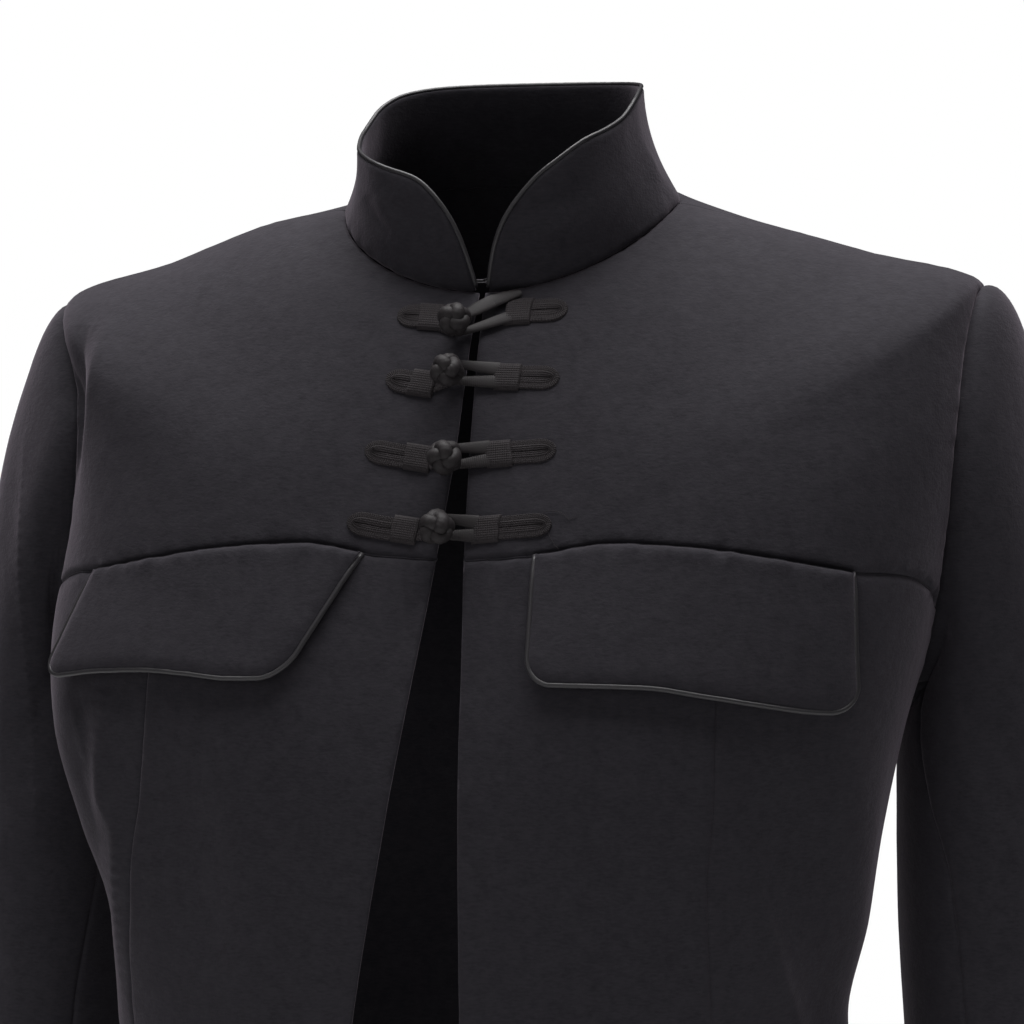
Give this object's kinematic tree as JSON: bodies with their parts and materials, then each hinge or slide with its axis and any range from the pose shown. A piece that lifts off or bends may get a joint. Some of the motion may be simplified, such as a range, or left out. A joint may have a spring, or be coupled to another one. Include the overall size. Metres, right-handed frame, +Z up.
{
  "type": "mandarin collar jacket",
  "caption": "Hip-length fitted jacket in worn form, with a standing collar, frog fastenings, slanted yokes, pocket flaps and long sleeves, open at neck, cuffs and hem.",
  "frame": {"origin": "middle of the neck opening, level with the points where the shoulder seams meet the collar", "axes": "+Z up, the jacket's front faces -Y, and +X is the wearer's left"},
  "size_m": [0.5219, 0.239, 0.6756],
  "materials": {
    "wool": "fine matt black wool",
    "satin": "black satin, soft sheen",
    "braid": "ribbed black braid tape",
    "hook_metal": "dark enamelled wire"
  },
  "bodies": {
    "root": {"front_yoke_left": "wool", "front_centre_left": "wool", "front_side_left": "wool", "back_left": "wool", "sleeve_top_left": "wool", "sleeve_under_left": "wool", "pocket_flap_left": "wool", "flap_piping_left": "satin", "front_yoke_right": "wool", "front_centre_right": "wool", "front_side_right": "wool", "back_right": "wool", "sleeve_top_right": "wool", "sleeve_under_right": "wool", "pocket_flap_right": "wool", "flap_piping_right": "satin", "collar": "wool", "collar_piping": "satin", "frog_1_knot_tape": "braid", "frog_1_knot_band": "braid", "frog_1_knot": "satin", "frog_1_loop_tape": "braid", "frog_1_loop_band": "braid", "frog_1_loop": "satin", "frog_2_knot_tape": "braid", "frog_2_knot_band": "braid", "frog_2_knot": "satin", "frog_2_loop_tape": "braid", "frog_2_loop_band": "braid", "frog_2_loop": "satin", "frog_3_knot_tape": "braid", "frog_3_knot_band": "braid", "frog_3_knot": "satin", "frog_3_loop_tape": "braid", "frog_3_loop_band": "braid", "frog_3_loop": "satin", "frog_4_knot_tape": "braid", "frog_4_knot_band": "braid", "frog_4_knot": "satin", "frog_4_loop_tape": "braid", "frog_4_loop_band": "braid", "frog_4_loop": "satin", "eye": "hook_metal", "hook": "hook_metal"}
  },
  "joints": []
}
